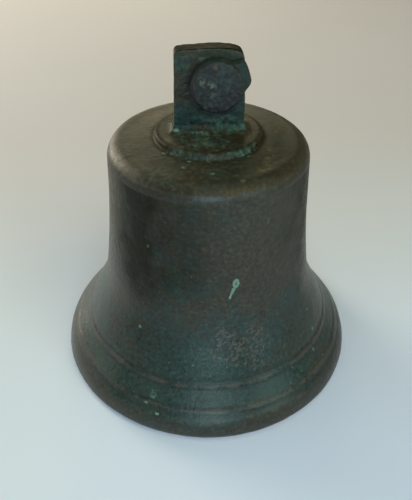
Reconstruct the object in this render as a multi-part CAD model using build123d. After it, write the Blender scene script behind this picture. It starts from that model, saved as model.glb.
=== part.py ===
from build123d import *
import math
import os

os.makedirs("parts", exist_ok=True)

# ---------------------------------------------------------------------------
# Sanctus bell. Millimetres, +Z up, origin at the centre of the mouth, in the
# plane of the lip. The lug's faces look along -Y and +Y.
# ---------------------------------------------------------------------------

# bell casting
LIP_R = 63.5            # outer radius at the lip (5 in bell)
LIP_FLAT_IN = 57.2      # flat ring that the bell stands on
LIP_FLAT_OUT = 61.2
CROWN_Z = 98.6          # height of the crown's edge
CROWN_RISE = 0.9        # the crown domes up by this much to the boss
SHOULDER_R = 6.0        # rounding from the waist to the crown
SHOULDER_TOP_R = 37.77  # waist radius where that rounding starts
CROWN_IN_Z = 91.6       # inside face of the crown
CROWN_IN_FILLET = 6.0
BOSS_R = 19.7           # round boss on the crown
BOSS_Z = 101.7
MOULDINGS = ((52.85, 19.4, 0.9), (58.75, 12.0, 0.9))   # radius, z, bead radius

OUTER = [               # outside of the waist and sound bow, (radius, z)
    (63.5, 3.0), (62.35, 7.0), (58.2, 12.7), (53.1, 19.05), (48.95, 26.67),
    (44.2, 36.83), (41.55, 49.53), (39.88, 63.5), (38.5, 79.4),
    (SHOULDER_TOP_R, CROWN_Z - SHOULDER_R),
]
INNER = [               # inside, from the mouth up
    (LIP_FLAT_IN, 0.0), (53.4, 6.0), (48.7, 12.7), (45.4, 19.05), (42.6, 26.67),
    (39.3, 36.83), (36.95, 49.53), (35.3, 63.5), (34.0, 79.4),
    (33.5, CROWN_IN_Z - CROWN_IN_FILLET),
]

# lug
LUG_T = 6.0             # thickness along Y
LUG_BASE_HALF = 12.75   # half width where it meets the boss
LUG_TOP_HALF_L = 12.2   # half widths at the top, the right one worn
LUG_TOP_HALF_R = 11.5
LUG_TOP_Z = 131.6
LUG_ARCH = 0.6
LUG_FOOT_FILLET = 3.0

# pivot bolt, 3/8 in
BOLT_X = 2.3            # the hole is off the lug's middle
BOLT_Z = 119.9
SHANK_R = 4.76
LUG_HOLE_R = 4.84
THREAD_R = 4.45         # threaded free end, rusted thin, as a plain cylinder
HELD_R = 4.70           # the same thread where the washer and nut sit on it
HEAD_R = 9.0
HEAD_FACE_Y = -8.2
HEAD_BACK_Y = -3.5
BURR_FRONT_Y = -6.3
BURR = [                # outline of the spread rim, (x, z) from the bolt axis
    (4.2, 7.8), (8.9, 8.6), (10.0, 7.0), (10.9, 5.0), (11.6, 2.6), (12.05, 1.1),
    (11.7, -0.4), (10.6, -1.9), (9.6, -3.6), (7.5, -4.8), (3.0, 0.0),
]
WASHER_R = 9.5
WASHER_HOLE_R = 5.0
WASHER_Y = (3.3, 4.9)
NUT_AF = 15.24
NUT_Y = (4.9, 13.2)
HELD_END_Y = 13.5       # just past the nut's face
HELD_CHAMFER = 0.3
BOLT_END_Y = 23.0
BOLT_END_CHAMFER = 0.8

# crown staple and its nut
STAPLE_R = 4.0
TAPPED_R = 4.02
TAPPED_TOP_Z = 100.0
STAPLE_TOP_Z = 99.4
STAPLE_NUT_AF = 13.0
STAPLE_NUT_T = 4.4
FORK_TOP_Z = CROWN_IN_Z - STAPLE_NUT_T
FORK_BRIDGE_Z = 83.6    # underside of the bridge between the ears
FORK_W = 11.0           # along X
FORK_Y = 5.5            # outer faces of the ears at +/- this
FORK_GAP_Y = 2.5        # inner faces
PIVOT_Z = 77.5

# clapper pin
PIN_R = 2.5
PIN_HEAD_R = 4.2
PIN_HEAD_T = 1.8
PIN_END_Y = 10.2
PIN_WASHER_R = 4.6
PIN_WASHER_T = 1.0
SPLIT_Y = 7.9
SPLIT_R = 0.8
SPLIT_HOLE_R = 0.85

# clapper
EYE_R = 5.4
EYE_T = 4.0
EYE_HOLE_R = 2.55
ROD_R = 3.0
ROD_ROUND_Z = PIVOT_Z - 9.5
ROD_END_Z = 9.5
BALL_R = 13.0
BALL_Z = 17.2
BALL_FLAT_Z = 29.3
BALL_HOLE_R = 3.02
BALL_NUT_AF = 10.0
BALL_NUT_T = 4.6


def cyl_y(x, z, r, y0, y1):
    """Cylinder along Y between y0 and y1."""
    return Pos(x, (y0 + y1) / 2, z) * Rot(90, 0, 0) * Cylinder(r, abs(y1 - y0))


def cyl_z(x, y, r, z0, z1):
    return Pos(x, y, (z0 + z1) / 2) * Cylinder(r, abs(z1 - z0))


def prism_z(af, z0, z1, turn=0.0):
    s = RegularPolygon(af / 2, 6, major_radius=False, rotation=turn)
    return Pos(0, 0, z0) * extrude(s, z1 - z0)


def nut_chamfered(body, axis_cyl):
    """A hexagon with its corners turned off, as a nut has."""
    return body & axis_cyl


# ---------------------------------------------------------------- bell_body
with BuildPart() as bell:
    with BuildSketch(Plane.XZ):
        with BuildLine():
            flat = Line((LIP_FLAT_IN, 0), (LIP_FLAT_OUT, 0))
            lip = ThreePointArc((LIP_FLAT_OUT, 0), (62.85, 0.75), OUTER[0])
            out = Spline(OUTER, tangents=((-0.02, 1), (-0.035, 1)))
            sh = RadiusArc(OUTER[-1], (SHOULDER_TOP_R - SHOULDER_R, CROWN_Z), -SHOULDER_R)
            cr = Line((SHOULDER_TOP_R - SHOULDER_R, CROWN_Z), (BOSS_R + 0.8, CROWN_Z + CROWN_RISE))
            b1 = Line((BOSS_R + 0.8, CROWN_Z + CROWN_RISE), (BOSS_R, BOSS_Z - 0.5))
            b2 = Line((BOSS_R, BOSS_Z - 0.5), (BOSS_R - 0.8, BOSS_Z))
            b3 = Line((BOSS_R - 0.8, BOSS_Z), (0, BOSS_Z))
            ax = Line((0, BOSS_Z), (0, CROWN_IN_Z))
            ci = Line((0, CROWN_IN_Z), (INNER[-1][0] - CROWN_IN_FILLET, CROWN_IN_Z))
            cf = RadiusArc((INNER[-1][0] - CROWN_IN_FILLET, CROWN_IN_Z), INNER[-1], CROWN_IN_FILLET)
            inn = Spline(list(reversed(INNER)))
        make_face()
    revolve(axis=Axis.Z)
body = bell.part

for r, z, b in MOULDINGS:
    body = body + Pos(0, 0, z) * Torus(r - 0.78, b)

lug_pts = [
    (-LUG_BASE_HALF, BOSS_Z - 2.0), (LUG_BASE_HALF, BOSS_Z - 2.0),
    (LUG_TOP_HALF_R, LUG_TOP_Z - LUG_ARCH), (-LUG_TOP_HALF_L, LUG_TOP_Z - LUG_ARCH),
]
with BuildPart() as lugp:
    with BuildSketch(Plane.XZ):
        with BuildLine():
            l1 = Line(lug_pts[0], lug_pts[1])
            l2 = Line(lug_pts[1], lug_pts[2])
            l3 = ThreePointArc(lug_pts[2], (0, LUG_TOP_Z), lug_pts[3])
            l4 = Line(lug_pts[3], lug_pts[0])
        make_face()
    extrude(amount=LUG_T / 2, both=True)
lug = lugp.part
# round the two top corners
tops = [e for e in lug.edges().filter_by(Axis.Y) if e.center().Z > LUG_TOP_Z - 3]
right = [e for e in tops if e.center().X > 0]
left = [e for e in tops if e.center().X < 0]
lug = fillet(right, 3.2) if right else lug
tops = [e for e in lug.edges().filter_by(Axis.Y)
        if e.center().Z > LUG_TOP_Z - 3 and e.center().X < -10]
lug = fillet(tops, 2.0)
body = body + lug
foot = [e for e in body.edges()
        if abs(e.center().Z - BOSS_Z) < 0.05 and abs(e.center().X) < LUG_BASE_HALF + 0.6
        and abs(e.center().Y) < LUG_T / 2 + 0.1 and e.length < 27]
try:
    body = fillet(foot, LUG_FOOT_FILLET)
except Exception as err:
    print("foot fillet left out:", err)
body = body - cyl_y(BOLT_X, BOLT_Z, LUG_HOLE_R, -6, 6)
body = body - cyl_z(0, 0, TAPPED_R, CROWN_IN_Z - 2, TAPPED_TOP_Z)
export_step(body, "parts/bell_body.step")

# --------------------------------------------------------------- pivot_bolt
head = cyl_y(BOLT_X, BOLT_Z, HEAD_R, HEAD_FACE_Y, HEAD_BACK_Y)
burr_w = Plane(origin=(BOLT_X, HEAD_BACK_Y, BOLT_Z), x_dir=(1, 0, 0), z_dir=(0, -1, 0)) * make_face(Polyline(*BURR, close=True))
burr = extrude(burr_w, HEAD_BACK_Y - BURR_FRONT_Y)
shank = cyl_y(BOLT_X, BOLT_Z, SHANK_R, HEAD_BACK_Y - 0.5, WASHER_Y[0])
thread = cyl_y(BOLT_X, BOLT_Z, THREAD_R, HELD_END_Y - 0.5, BOLT_END_Y)
ends = [e for e in thread.edges() if abs(e.center().Y - BOLT_END_Y) < 0.01]
thread = chamfer(ends, BOLT_END_CHAMFER)
held = cyl_y(BOLT_X, BOLT_Z, HELD_R, WASHER_Y[0] - 0.5, HELD_END_Y)
held = chamfer([e for e in held.edges() if abs(e.center().Y - HELD_END_Y) < 0.01], HELD_CHAMFER)
bolt = head + burr + shank + held + thread
export_step(bolt, "parts/pivot_bolt.step")

# ------------------------------------------------------------- pivot_washer
washer = cyl_y(BOLT_X, BOLT_Z, WASHER_R, *WASHER_Y) - cyl_y(BOLT_X, BOLT_Z, WASHER_HOLE_R, 2, 6)
export_step(washer, "parts/pivot_washer.step")

# ---------------------------------------------------------------- pivot_nut
hexa = RegularPolygon(NUT_AF / 2, 6, major_radius=False, rotation=0)
nutp = Plane(origin=(BOLT_X, NUT_Y[0], BOLT_Z), x_dir=(1, 0, 0), z_dir=(0, 1, 0)) * hexa
nut = extrude(nutp, NUT_Y[1] - NUT_Y[0])
nut = nut & (cyl_y(BOLT_X, BOLT_Z, NUT_AF / 2 * 1.12, *NUT_Y))
nut = nut - cyl_y(BOLT_X, BOLT_Z, HELD_R + 0.02, 4, 14)
export_step(nut, "parts/pivot_nut.step")

# -------------------------------------------------------------- crown_staple
staple = cyl_z(0, 0, STAPLE_R, FORK_TOP_Z - 1, STAPLE_TOP_Z)
staple += Pos(0, 0, (FORK_TOP_Z + FORK_BRIDGE_Z) / 2) * Box(FORK_W, 2 * FORK_Y, FORK_TOP_Z - FORK_BRIDGE_Z)
ear_t = FORK_Y - FORK_GAP_Y
for s in (-1, 1):
    yc = s * (FORK_GAP_Y + ear_t / 2)
    staple += Pos(0, yc, (FORK_BRIDGE_Z + PIVOT_Z) / 2 + 0.25) * Box(FORK_W, ear_t, FORK_BRIDGE_Z - PIVOT_Z + 0.5)
    staple += cyl_y(0, PIVOT_Z, FORK_W / 2, yc - ear_t / 2, yc + ear_t / 2)
staple = staple - cyl_y(0, PIVOT_Z, PIN_R + 0.02, -8, 8)
export_step(staple, "parts/crown_staple.step")

# ---------------------------------------------------------------- staple_nut
snut = prism_z(STAPLE_NUT_AF, FORK_TOP_Z, CROWN_IN_Z) & cyl_z(0, 0, STAPLE_NUT_AF / 2 * 1.12, FORK_TOP_Z, CROWN_IN_Z)
snut = snut - cyl_z(0, 0, TAPPED_R, FORK_TOP_Z - 1, CROWN_IN_Z + 1)
export_step(snut, "parts/staple_nut.step")

# --------------------------------------------------------------- clapper_pin
pin = cyl_y(0, PIVOT_Z, PIN_R, -FORK_Y - 0.5, PIN_END_Y)
pin += cyl_y(0, PIVOT_Z, PIN_HEAD_R, -FORK_Y - PIN_HEAD_T, -FORK_Y)
pin = chamfer([e for e in pin.edges() if abs(e.center().Y - PIN_END_Y) < 0.01], 0.5)
pin = pin - cyl_z(0, SPLIT_Y, SPLIT_HOLE_R, PIVOT_Z - 5, PIVOT_Z + 5)
export_step(pin, "parts/clapper_pin.step")

# ---------------------------------------------------------------- pin_washer
pwash = cyl_y(0, PIVOT_Z, PIN_WASHER_R, FORK_Y, FORK_Y + PIN_WASHER_T)
pwash = pwash - cyl_y(0, PIVOT_Z, PIN_R + 0.15, FORK_Y - 1, FORK_Y + 3)
export_step(pwash, "parts/pin_washer.step")

# ----------------------------------------------------------------- split_pin
split = cyl_z(0, SPLIT_Y, SPLIT_R, PIVOT_Z - 4.4, PIVOT_Z + 3.4)
eye = Pos(0, SPLIT_Y, PIVOT_Z + 3.4 + 1.2) * Rot(90, 0, 0) * Torus(1.5, 0.6)
leg = Pos(0, SPLIT_Y + 1.0, PIVOT_Z - 4.4) * Rot(90, 0, 0) * Cylinder(0.55, 3.0)
split = split + eye + leg
export_step(split, "parts/split_pin.step")

# --------------------------------------------------------------- clapper_rod
rod = cyl_y(0, PIVOT_Z, EYE_R, -EYE_T / 2, EYE_T / 2)
rod += Pos(0, 0, (PIVOT_Z + ROD_ROUND_Z) / 2 - 0.5) * Box(7.0, EYE_T, PIVOT_Z - ROD_ROUND_Z + 1.0)
rod += cyl_z(0, 0, ROD_R, ROD_END_Z, ROD_ROUND_Z)
neck = Pos(0, 0, ROD_ROUND_Z - 0.5) * Sphere(3.6)
rod += neck
rod = rod - cyl_y(0, PIVOT_Z, EYE_HOLE_R, -4, 4)
export_step(rod, "parts/clapper_rod.step")

# -------------------------------------------------------------- clapper_ball
ball = Pos(0, 0, BALL_Z) * Sphere(BALL_R)
ball = ball - Pos(0, 0, BALL_FLAT_Z + 10) * Box(40, 40, 20)
ball = ball - cyl_z(0, 0, BALL_HOLE_R, ROD_END_Z - 0.3, BALL_FLAT_Z + 1)
export_step(ball, "parts/clapper_ball.step")

# ------------------------------------------------------------------ ball_nut
bnut = prism_z(BALL_NUT_AF, BALL_FLAT_Z, BALL_FLAT_Z + BALL_NUT_T, 30)
bnut = bnut & cyl_z(0, 0, BALL_NUT_AF / 2 * 1.12, BALL_FLAT_Z, BALL_FLAT_Z + BALL_NUT_T)
bnut = bnut - cyl_z(0, 0, BALL_HOLE_R, BALL_FLAT_Z - 1, BALL_FLAT_Z + BALL_NUT_T + 1)
export_step(bnut, "parts/ball_nut.step")
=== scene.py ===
import bpy
import bmesh
import math
import numpy as np
from mathutils import Matrix, Vector


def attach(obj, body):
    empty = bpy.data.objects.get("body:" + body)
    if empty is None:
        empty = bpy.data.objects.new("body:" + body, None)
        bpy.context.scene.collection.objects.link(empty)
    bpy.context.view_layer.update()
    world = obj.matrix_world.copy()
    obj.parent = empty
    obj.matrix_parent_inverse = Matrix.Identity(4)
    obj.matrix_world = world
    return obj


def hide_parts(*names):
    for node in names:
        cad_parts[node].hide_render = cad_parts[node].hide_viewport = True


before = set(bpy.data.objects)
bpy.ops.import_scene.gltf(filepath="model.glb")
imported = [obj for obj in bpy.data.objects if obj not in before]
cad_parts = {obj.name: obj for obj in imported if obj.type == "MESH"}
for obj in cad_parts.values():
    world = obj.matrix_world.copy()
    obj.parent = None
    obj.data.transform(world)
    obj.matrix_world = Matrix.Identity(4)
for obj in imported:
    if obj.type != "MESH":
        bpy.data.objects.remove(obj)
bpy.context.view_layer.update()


MM = 0.001

# ---------------------------------------------------------------------------
# sizes, in millimetres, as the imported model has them
# ---------------------------------------------------------------------------
CROWN_Z = 98.6
BOSS_R, BOSS_Z = 19.7, 101.7
CROWN_IN_Z = 91.6
TAPPED_R, TAPPED_TOP = 4.02, 100.0
LUG_T = 6.0
LUG_BASE_HALF, LUG_TOP_L, LUG_TOP_R = 12.75, 12.2, 11.5
LUG_TOP_Z = 131.6
BOLT_X, BOLT_Z = 2.3, 119.9
HOLE_R = 4.84
PIVOT_Z = 77.5
BALL_Z, BALL_R = 17.2, 13.0

OUTER = np.array([
    (63.5, 3.0), (62.35, 7.0), (58.2, 12.7), (53.1, 19.05), (48.95, 26.67),
    (44.2, 36.83), (41.55, 49.53), (39.88, 63.5), (38.5, 79.4), (37.77, 92.6)])
INNER = np.array([
    (57.2, 0.0), (53.4, 6.0), (48.7, 12.7), (45.4, 19.05), (42.6, 26.67),
    (39.3, 36.83), (36.95, 49.53), (35.3, 63.5), (34.0, 79.4), (33.5, 85.6)])


# ---------------------------------------------------------------------------
# noise
# ---------------------------------------------------------------------------
_rs = np.random.RandomState(11)
_perm = np.r_[_rs.permutation(256), np.arange(0)]
_grad = _rs.normal(size=(256, 3))
_grad /= np.linalg.norm(_grad, axis=1, keepdims=True)


def perlin(P, freq=1.0, seed=0):
    P = np.asarray(P, float) * freq + seed * 19.37
    i = np.floor(P).astype(np.int64)
    f = P - i
    u = f * f * f * (f * (f * 6 - 15) + 10)
    out = np.zeros(len(P))
    for dx in (0, 1):
        wx = u[:, 0] if dx else 1 - u[:, 0]
        hx = _perm[(i[:, 0] + dx) & 255]
        for dy in (0, 1):
            wy = u[:, 1] if dy else 1 - u[:, 1]
            hy = _perm[(hx + i[:, 1] + dy) & 255]
            for dz in (0, 1):
                wz = u[:, 2] if dz else 1 - u[:, 2]
                g = _grad[_perm[(hy + i[:, 2] + dz) & 255]]
                d = (f[:, 0] - dx) * g[:, 0] + (f[:, 1] - dy) * g[:, 1] + (f[:, 2] - dz) * g[:, 2]
                out += wx * wy * wz * d
    return out * 1.6


def fbm(P, freq, octaves=4, gain=0.5, seed=0):
    out = np.zeros(len(P))
    a = 1.0
    for k in range(octaves):
        out += a * perlin(P, freq * 2.03 ** k, seed + k * 7)
        a *= gain
    return out


def smooth(x, a, b):
    t = np.clip((x - a) / (b - a), 0, 1)
    return t * t * (3 - 2 * t)


def bell_curve(x, c, w):
    return np.exp(-((x - c) / w) ** 2)


# ---------------------------------------------------------------------------
# mesh helpers; everything is built in millimetres and scaled once at the end
# ---------------------------------------------------------------------------
def new_object(name, mesh):
    ob = bpy.data.objects.new(name, mesh)
    bpy.context.scene.collection.objects.link(ob)
    return ob


def mesh_from(name, verts, faces):
    me = bpy.data.meshes.new(name)
    me.from_pydata([tuple(v) for v in verts], [], [tuple(f) for f in faces])
    me.validate()
    me.update()
    return me


def bm_to_mesh(bm, name):
    me = bpy.data.meshes.new(name)
    bmesh.ops.recalc_face_normals(bm, faces=bm.faces)
    bm.to_mesh(me)
    bm.free()
    return me


def p_cyl(a, b, r1, r2=None, n=64):
    """Cylinder or cone frustum from point a to point b."""
    r2 = r1 if r2 is None else r2
    a, b = Vector(a), Vector(b)
    d = b - a
    bm = bmesh.new()
    bmesh.ops.create_cone(bm, cap_ends=True, segments=n, radius1=r1, radius2=r2, depth=d.length)
    q = Vector((0, 0, 1)).rotation_difference(d.normalized())
    bmesh.ops.transform(bm, matrix=Matrix.Translation((a + b) / 2) @ q.to_matrix().to_4x4(), verts=bm.verts)
    return bm_to_mesh(bm, "p")


def p_box(lo, hi):
    bm = bmesh.new()
    bmesh.ops.create_cube(bm, size=1.0)
    lo, hi = Vector(lo), Vector(hi)
    s = hi - lo
    bmesh.ops.transform(bm, matrix=Matrix.Translation((lo + hi) / 2) @ Matrix.Diagonal((s.x, s.y, s.z, 1)), verts=bm.verts)
    return bm_to_mesh(bm, "p")


def p_sphere(c, r, sub=5):
    bm = bmesh.new()
    bmesh.ops.create_icosphere(bm, subdivisions=sub, radius=r)
    bmesh.ops.transform(bm, matrix=Matrix.Translation(c), verts=bm.verts)
    return bm_to_mesh(bm, "p")


def p_prism_y(outline, y0, y1, grow1=0.0, centre=(0, 0)):
    """Outline of (x, z) points, extruded along Y; the y1 end is scaled by 1 + grow1 about centre."""
    n = len(outline)
    vs = [(x, y0, z) for x, z in outline]
    vs += [(centre[0] + (x - centre[0]) * (1 + grow1), y1, centre[1] + (z - centre[1]) * (1 + grow1)) for x, z in outline]
    fs = [tuple(range(n)), tuple(range(2 * n - 1, n - 1, -1))]
    fs += [(i, (i + 1) % n, n + (i + 1) % n, n + i) for i in range(n)]
    bm = bmesh.new()
    bv = [bm.verts.new(v) for v in vs]
    for f in fs:
        bm.faces.new([bv[i] for i in f])
    return bm_to_mesh(bm, "p")


def p_hex(c, af, t, axis="z", turn=0.0, bevel=0.12):
    """Hexagon nut blank with its corners turned off at both ends; c is the centre of its first face."""
    R = af / math.sqrt(3)
    outline = [(R * math.cos(turn + k * math.pi / 3), R * math.sin(turn + k * math.pi / 3)) for k in range(6)]
    prism = p_prism_y(outline, 0, t)
    ob = new_object("tmp_hex", prism)
    # turned corners: a double cone
    n = 96
    prof = [(0, -0.01), (af / 2 * 0.97, -0.01), (R * 1.02, (R * 1.02 - af / 2 * 0.97) * 0.55),
            (R * 1.02, t - (R * 1.02 - af / 2 * 0.97) * 0.55), (af / 2 * 0.97, t + 0.01), (0, t + 0.01)]
    cut = new_object("tmp_cut", revolve_y(prof, n))
    me = boolean(ob, cut, "INTERSECT")
    M = Matrix.Identity(4)
    if axis == "z":
        M = Matrix.Rotation(math.radians(90), 4, "X")
    me.transform(Matrix.Translation(c) @ M)
    return me


def revolve_y(prof, n=96):
    """(r, y) profile turned about the Y axis; the first and last points are on the axis."""
    verts, faces = [], []
    rings = []
    for r, y in prof:
        if r < 1e-6:
            verts.append((0, y, 0)); rings.append([len(verts) - 1])
        else:
            base = len(verts)
            for k in range(n):
                a = 2 * math.pi * k / n
                verts.append((r * math.cos(a), y, r * math.sin(a)))
            rings.append(list(range(base, base + n)))
    for p, q in zip(rings[:-1], rings[1:]):
        for k in range(n):
            k2 = (k + 1) % n
            if len(p) == 1:
                faces.append((p[0], q[k], q[k2]))
            elif len(q) == 1:
                faces.append((p[k], p[k2], q[0]))
            else:
                faces.append((p[k], p[k2], q[k2], q[k]))
    me = mesh_from("rev", verts, faces)
    bm = bmesh.new(); bm.from_mesh(me)
    return bm_to_mesh(bm, "rev")


def drop(*obs):
    for o in obs:
        me = o.data
        bpy.data.objects.remove(o, do_unlink=True)
        if me and me.users == 0:
            bpy.data.meshes.remove(me)


def evaluated(ob):
    dg = bpy.context.evaluated_depsgraph_get()
    dg.update()
    return bpy.data.meshes.new_from_object(ob.evaluated_get(dg))


def boolean(a, b, op):
    """Exact boolean of two temporary objects; both are removed and the mesh is returned."""
    m = a.modifiers.new("b", "BOOLEAN")
    m.operation = op
    m.object = b
    m.solver = "EXACT"
    me = evaluated(a)
    drop(a, b)
    return me


def joined(meshes):
    bm = bmesh.new()
    for me in meshes:
        bm.from_mesh(me)
    out = bpy.data.meshes.new("joined")
    bm.to_mesh(out)
    bm.free()
    return out


def remeshed(meshes, voxel, cuts=(), relax=2):
    """Union of closed meshes, less the cuts, as one even closed mesh with softly worn edges."""
    ob = new_object("tmp_union", joined(meshes))
    m = ob.modifiers.new("r", "REMESH")
    m.mode = "VOXEL"
    m.voxel_size = voxel
    m.adaptivity = 0.0
    me = evaluated(ob)
    drop(ob)
    if cuts:
        ob = new_object("tmp_a", me)
        for c in cuts:
            cb = new_object("tmp_b", c)
            me = boolean(ob, cb, "DIFFERENCE")
            ob = new_object("tmp_a", me)
        m = ob.modifiers.new("r", "REMESH")
        m.mode = "VOXEL"
        m.voxel_size = voxel
        me = evaluated(ob)
        drop(ob)
    if relax:
        ob = new_object("tmp_c", me)
        m = ob.modifiers.new("s", "SMOOTH")
        m.factor = 0.5
        m.iterations = relax
        me = evaluated(ob)
        drop(ob)
    return me


def coords(me):
    v = np.empty(len(me.vertices) * 3, np.float32)
    me.vertices.foreach_get("co", v)
    return v.reshape(-1, 3).astype(float)


def normals(me):
    v = np.empty(len(me.vertices) * 3, np.float32)
    me.vertex_normals.foreach_get("vector", v)
    return v.reshape(-1, 3).astype(float)


def set_coords(me, P):
    me.vertices.foreach_set("co", np.asarray(P, np.float32).ravel())
    me.update()


def push(me, d):
    """Moves every vertex along its normal by d millimetres."""
    set_coords(me, coords(me) + normals(me) * d[:, None])


def attribute(me, name, values):
    a = me.attributes.get(name) or me.attributes.new(name, "FLOAT", "POINT")
    a.data.foreach_set("value", np.clip(values, 0, 1).astype(np.float32))


def finish_piece(name, me, body, nodes, material):
    """Scales a millimetre mesh to metres, shades it smooth and puts it in the scene for good."""
    set_coords(me, coords(me) * MM)
    me.name = name
    for p in me.polygons:
        p.use_smooth = True
    me.materials.clear()
    me.materials.append(material)
    ob = new_object(name, me)
    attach(ob, body)
    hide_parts(*nodes)
    return ob


# ---------------------------------------------------------------------------
# materials
# ---------------------------------------------------------------------------
class Nodes:
    def __init__(self, name):
        self.m = bpy.data.materials.new(name)
        self.m.use_nodes = True
        self.t = self.m.node_tree
        for n in list(self.t.nodes):
            self.t.nodes.remove(n)
        self.out = self.t.nodes.new("ShaderNodeOutputMaterial")
        self.bsdf = self.t.nodes.new("ShaderNodeBsdfPrincipled")
        self.t.links.new(self.bsdf.outputs["BSDF"], self.out.inputs["Surface"])
        self.tc = self.t.nodes.new("ShaderNodeTexCoord")

    def link(self, a, b):
        self.t.links.new(a, b)

    def obj(self):
        return self.tc.outputs["Object"]

    def mapping(self, scale=(1, 1, 1), loc=(0, 0, 0)):
        n = self.t.nodes.new("ShaderNodeMapping")
        n.inputs["Scale"].default_value = scale
        n.inputs["Location"].default_value = loc
        self.link(self.obj(), n.inputs["Vector"])
        return n.outputs["Vector"]

    def noise(self, per_m, detail=4, rough=0.55, dist=0.0, vec=None, seed=0.0):
        n = self.t.nodes.new("ShaderNodeTexNoise")
        n.inputs["Scale"].default_value = per_m
        n.inputs["Detail"].default_value = detail
        n.inputs["Roughness"].default_value = rough
        n.inputs["Distortion"].default_value = dist
        if vec is None:
            vec = self.mapping(loc=(seed, seed * 0.7, -seed * 0.4)) if seed else self.obj()
        self.link(vec, n.inputs["Vector"])
        return n.outputs["Fac"]

    def voronoi(self, per_m, feature="F1", rand=1.0, vec=None):
        n = self.t.nodes.new("ShaderNodeTexVoronoi")
        n.feature = feature
        n.inputs["Scale"].default_value = per_m
        n.inputs["Randomness"].default_value = rand
        self.link(vec if vec is not None else self.obj(), n.inputs["Vector"])
        return n.outputs["Distance"]

    def ramp(self, x, stops):
        n = self.t.nodes.new("ShaderNodeValToRGB")
        e = n.color_ramp.elements
        while len(e) < len(stops):
            e.new(0.5)
        for k, (pos, c) in enumerate(stops):
            e[k].position = pos
            e[k].color = (c, c, c, 1) if isinstance(c, (int, float)) else (*c, 1)
        self.link(x, n.inputs["Fac"])
        return n.outputs["Color"]

    def between(self, x, a, b, lo=0.0, hi=1.0):
        n = self.t.nodes.new("ShaderNodeMapRange")
        n.interpolation_type = "SMOOTHSTEP"
        n.inputs["From Min"].default_value = a
        n.inputs["From Max"].default_value = b
        n.inputs["To Min"].default_value = lo
        n.inputs["To Max"].default_value = hi
        self.link(x, n.inputs["Value"])
        return n.outputs["Result"]

    def math(self, op, a, b=None, clamp=False):
        n = self.t.nodes.new("ShaderNodeMath")
        n.operation = op
        n.use_clamp = clamp
        for k, v in enumerate((a, b)):
            if v is None:
                continue
            if isinstance(v, (int, float)):
                n.inputs[k].default_value = v
            else:
                self.link(v, n.inputs[k])
        return n.outputs["Value"]

    def mix(self, fac, a, b, blend="MIX"):
        n = self.t.nodes.new("ShaderNodeMix")
        n.data_type = "RGBA"
        n.blend_type = blend
        n.clamp_factor = True
        if isinstance(fac, (int, float)):
            n.inputs["Factor"].default_value = fac
        else:
            self.link(fac, n.inputs["Factor"])
        for sock, v in (("A", a), ("B", b)):
            s = [i for i in n.inputs if i.name == sock and i.type == "RGBA"][0]
            if isinstance(v, tuple):
                s.default_value = (*v, 1)
            else:
                self.link(v, s)
        return [o for o in n.outputs if o.type == "RGBA"][0]

    def attr(self, name):
        n = self.t.nodes.new("ShaderNodeAttribute")
        n.attribute_type = "GEOMETRY"
        n.attribute_name = name
        return n.outputs["Fac"]

    def bump(self, height, strength, distance, normal=None):
        n = self.t.nodes.new("ShaderNodeBump")
        n.inputs["Strength"].default_value = strength
        n.inputs["Distance"].default_value = distance
        self.link(height, n.inputs["Height"])
        if normal is not None:
            self.link(normal, n.inputs["Normal"])
        return n.outputs["Normal"]


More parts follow.
